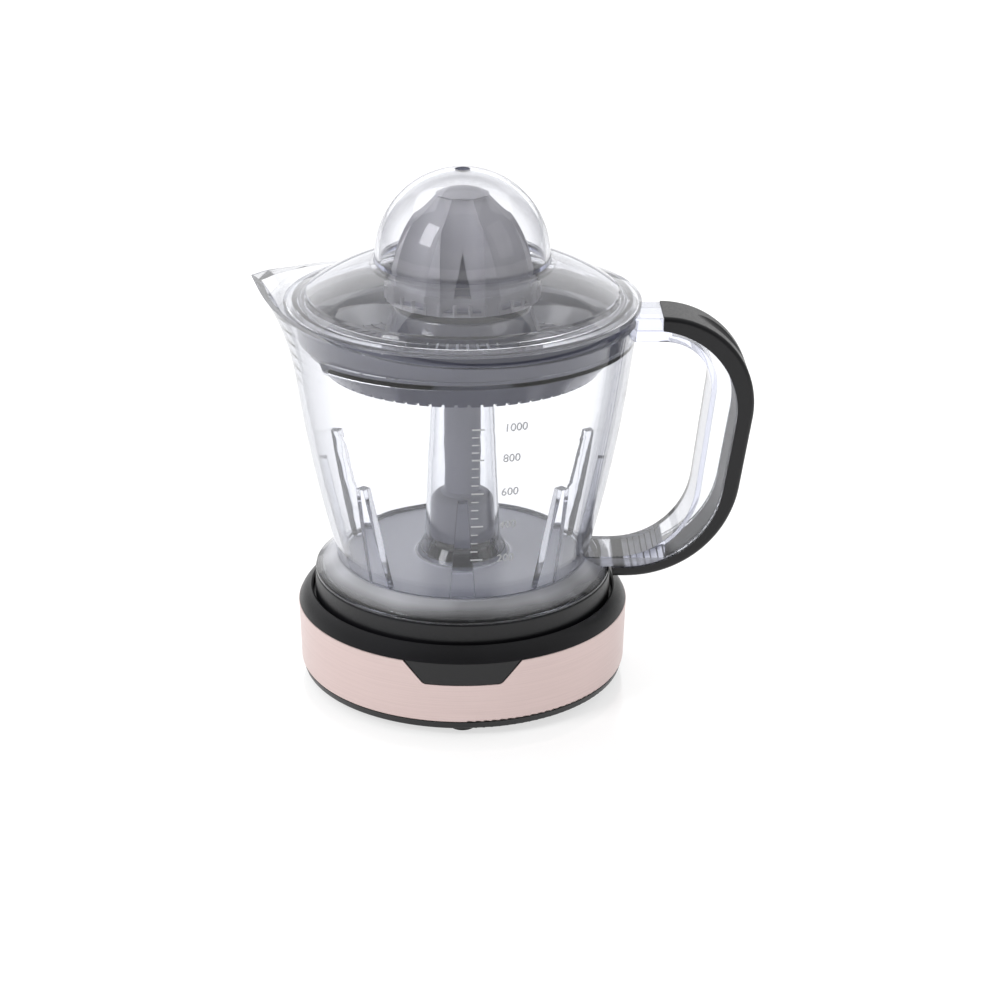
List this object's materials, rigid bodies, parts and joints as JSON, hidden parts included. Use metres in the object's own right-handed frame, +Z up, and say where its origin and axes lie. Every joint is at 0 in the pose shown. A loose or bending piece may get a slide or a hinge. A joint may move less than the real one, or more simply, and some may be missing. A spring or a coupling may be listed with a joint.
{
  "type": "citrus press juicer",
  "caption": "Electric citrus juicer: round motor base, clear jug with spout and handle, strainer dish, fluted pressing cone and clear domed dust cover.",
  "frame": {"origin": "on the table, under the middle of the whole footprint from spout tip to grip; the drive axis stands at X = -0.0184 m", "axes": "+Z up, -Y the front with the badge, -X to the spout, +X to the handle"},
  "size_m": [0.22, 0.1564, 0.2345],
  "materials": {
    "clear_plastic": "clear, slightly smoky",
    "black_plastic": "fine satin grain",
    "badge_plastic": "gloss",
    "rose_metal": "satin metallic rose",
    "grey_plastic": "satin",
    "strainer_plastic": "gloss, slightly smoky",
    "gear_plastic": "moulded, natural",
    "bobbin_plastic": "moulded",
    "switch_plastic": "moulded",
    "steel": "bright",
    "core_steel": "stacked sheet",
    "magnet": "ground ferrite",
    "copper_wire": "enamelled wire",
    "brass": "bright",
    "rubber": "matt"
  },
  "bodies": {
    "base": {"base_pan": "black_plastic", "trim_band": "rose_metal", "top_deck": "black_plastic", "front_badge": "badge_plastic", "foot_pads": "rubber", "pan_screws": "steel", "cord_gland": "rubber", "spindle_seal": "rubber", "gear_plate": "steel", "gear_top_plate": "steel", "plate_pillars": "steel", "plate_screws": "steel", "idler_pins": "steel", "spindle_bushes": "brass", "stator_core": "core_steel", "coil_bobbins": "bobbin_plastic", "stator_coils": "copper_wire", "rotor_bracket": "steel", "micro_switch": "switch_plastic", "switch_terminals": "brass", "return_spring": "steel"},
    "switch_button": {"switch_button": "gear_plastic"},
    "rotor": {"rotor_shaft": "steel", "rotor_magnet": "magnet", "rotor_pinion": "gear_plastic"},
    "first_idler": {"first_idler": "gear_plastic"},
    "second_idler": {"second_idler": "gear_plastic"},
    "output_gear": {"output_gear": "gear_plastic"},
    "drive_shaft": {"drive_spindle": "steel", "thrust_cap": "gear_plastic", "spindle_clip": "steel", "drive_shaft": "grey_plastic"},
    "jug": {"jug": "clear_plastic", "jug_collar": "black_plastic", "handle_grip": "black_plastic"},
    "strainer": {"strainer": "strainer_plastic"},
    "cone_bush": {"cone_bush": "grey_plastic"},
    "cone": {"lemon_cone": "grey_plastic", "orange_cone": "grey_plastic"},
    "dust_cover": {"dust_cover": "clear_plastic"}
  },
  "joints": [
    {"name": "jug_lift", "type": "slide", "parent": "base", "child": "jug", "axis": [0, 0, 1], "range_m": [0, 0.16]},
    {"name": "strainer_lift", "type": "slide", "parent": "jug", "child": "strainer", "axis": [0, 0, 1], "range_m": [0, 0.06]},
    {"name": "lid_lift", "type": "slide", "parent": "strainer", "child": "dust_cover", "axis": [0, 0, 1], "range_m": [0, 0.06]},
    {"name": "gear_spin", "type": "hinge", "parent": "base", "child": "output_gear", "pos_m": [-0.0184, 0, 0.0227], "axis": [0, 0, 1], "continuous": true},
    {"name": "second_idler_spin", "type": "hinge", "parent": "base", "child": "second_idler", "pos_m": [-0.04282, 0.00431, 0.025], "axis": [0, 0, 1], "continuous": true},
    {"name": "first_idler_spin", "type": "hinge", "parent": "base", "child": "first_idler", "pos_m": [-0.0495, 0.02485, 0.028], "axis": [0, 0, 1], "continuous": true},
    {"name": "rotor_spin", "type": "hinge", "parent": "base", "child": "rotor", "pos_m": [-0.03225, 0.03785, 0.018], "axis": [0, 0, 1], "continuous": true},
    {"name": "shaft_press", "type": "slide", "parent": "output_gear", "child": "drive_shaft", "axis": [0, 0, -1], "range_m": [0, 0.002], "stiffness_N_per_m": 2000, "springref_m": -0.003, "deforming": ["return_spring"]},
    {"name": "button_press", "type": "slide", "parent": "base", "child": "switch_button", "axis": [0, 0, -1], "range_m": [0, 0.002]},
    {"name": "cone_spin", "type": "hinge", "parent": "strainer", "child": "cone_bush", "pos_m": [-0.0184, 0, 0.171], "axis": [0, 0, 1], "continuous": true},
    {"name": "cone_press", "type": "slide", "parent": "cone_bush", "child": "cone", "axis": [0, 0, -1], "range_m": [0, 0.002]}
  ],
  "couplings": [
    {"joint": "second_idler_spin", "follows": "gear_spin", "ratio": -3.4286},
    {"joint": "first_idler_spin", "follows": "gear_spin", "ratio": 9.7959},
    {"joint": "rotor_spin", "follows": "gear_spin", "ratio": -27.988},
    {"joint": "cone_spin", "follows": "gear_spin", "ratio": 1},
    {"joint": "button_press", "follows": "shaft_press", "ratio": 1},
    {"joint": "cone_press", "follows": "shaft_press", "ratio": 1}
  ]
}
